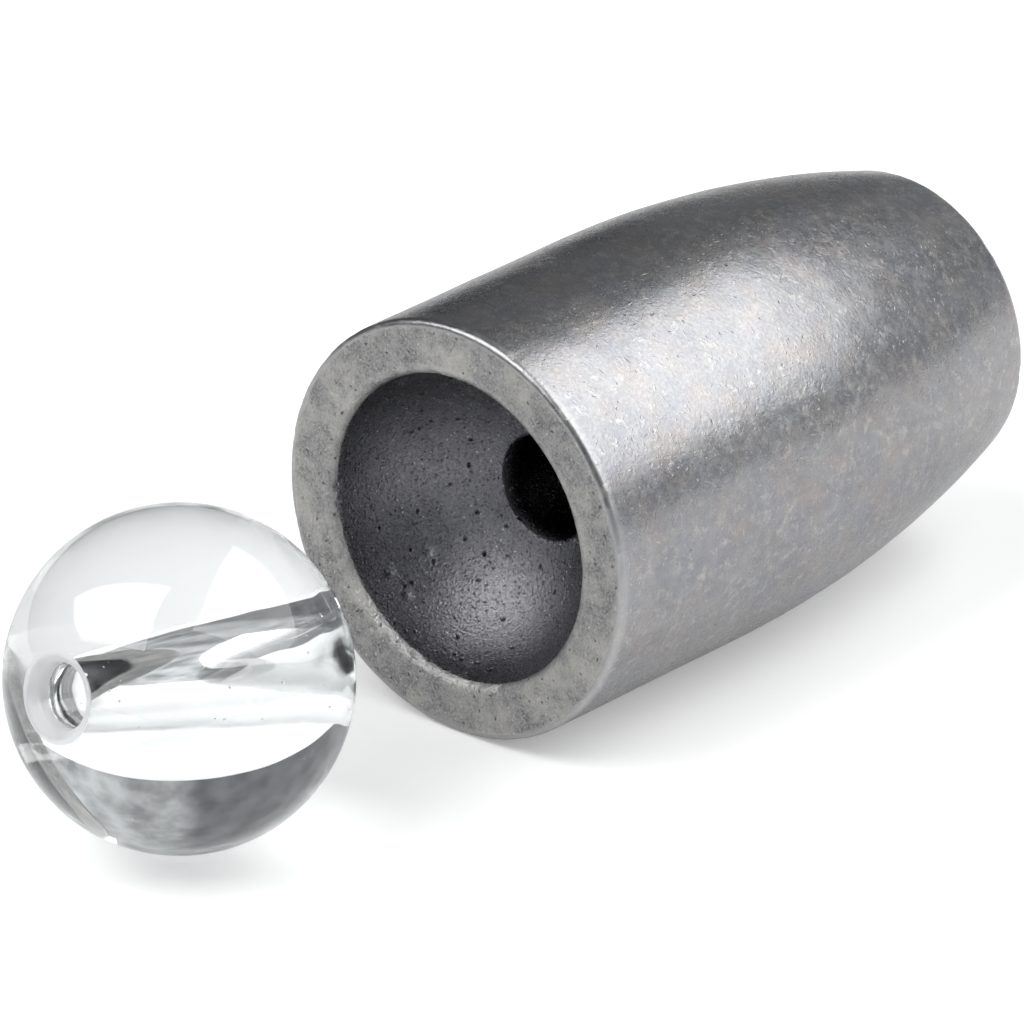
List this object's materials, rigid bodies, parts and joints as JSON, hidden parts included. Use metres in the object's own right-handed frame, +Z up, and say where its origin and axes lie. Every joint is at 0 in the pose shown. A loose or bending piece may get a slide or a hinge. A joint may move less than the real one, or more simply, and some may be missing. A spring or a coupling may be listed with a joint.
{
  "type": "fishing sinker with glass bead",
  "caption": "Bullet-shaped slip sinker with a cupped base and a line hole through its axis, with the loose clear glass bead that seats in the cup.",
  "frame": {"origin": "on the surface that the sinker and the bead lie on, under the middle of their overall length and width", "axes": "+X along the sinker's axis towards its nose, +Z up, +Y to the left of the nose"},
  "size_m": [0.0356, 0.0126, 0.0127],
  "materials": {
    "sinker_metal": "satin, pressed and tumbled, with fine pits and scuffs",
    "bead_glass": "clear polished glass, with ground countersinks"
  },
  "bodies": {
    "sinker": {"sinker_body": "sinker_metal"},
    "bead": {"glass_bead": "bead_glass"}
  },
  "joints": [
    {"name": "bead_slide", "type": "slide", "parent": "sinker", "child": "bead", "axis": [0.9784, -0.1374, 0.1545], "range_m": [0, 0.00873]}
  ]
}
